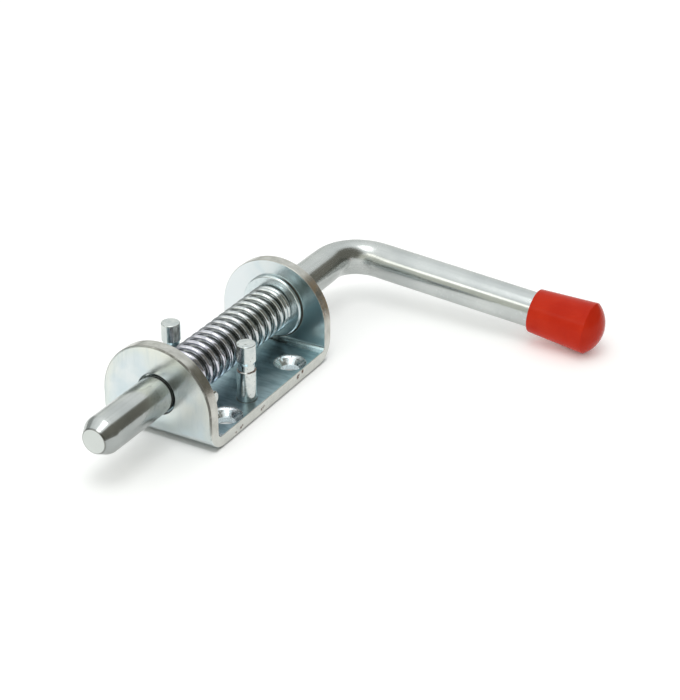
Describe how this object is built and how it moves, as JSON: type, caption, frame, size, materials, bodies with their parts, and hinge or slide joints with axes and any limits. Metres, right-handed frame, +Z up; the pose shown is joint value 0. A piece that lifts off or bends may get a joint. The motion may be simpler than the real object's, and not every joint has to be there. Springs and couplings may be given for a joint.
{
  "type": "spring latch pin",
  "caption": "Spring bolt: bent round bar with a capped handle, slid and turned in the ears of a folded screw-on bracket, with a coil return spring and grooved holding posts.",
  "frame": {"origin": "centre of the bracket's base underside", "axes": "+X across the bracket towards the handle, +Y along the bolt from the nose to the handle, +Z up from the base"},
  "size_m": [0.1136, 0.1551, 0.031],
  "materials": {
    "zinc_sheet": "bright zinc plate, slightly blue",
    "zinc_bar": "bright zinc plate",
    "bright_bar": "bright zinc plate on drawn bar",
    "spring_wire": "polished wire",
    "red_cap": "semi-gloss moulded plastic"
  },
  "bodies": {
    "bracket_body": {"bracket": "zinc_sheet", "near_post": "zinc_bar", "far_post": "zinc_bar", "rear_washer": "zinc_bar", "return_spring": "spring_wire"},
    "slide_washer": {"front_washer": "zinc_bar"},
    "bolt": {"bolt_rod": "bright_bar", "cross_pin": "zinc_bar", "end_cap": "red_cap"}
  },
  "joints": [
    {"name": "bolt_slide", "type": "slide", "parent": "bracket_body", "child": "slide_washer", "axis": [0, 1, 0], "range_m": [0, 0.0165], "stiffness_N_per_m": 1700, "springref_m": -0.008, "deforming": ["return_spring"]},
    {"name": "handle_turn", "type": "hinge", "parent": "slide_washer", "child": "bolt", "pos_m": [0, 0, 0.0155], "axis": [0, -1, 0], "range_deg": [0, 188.7]}
  ]
}
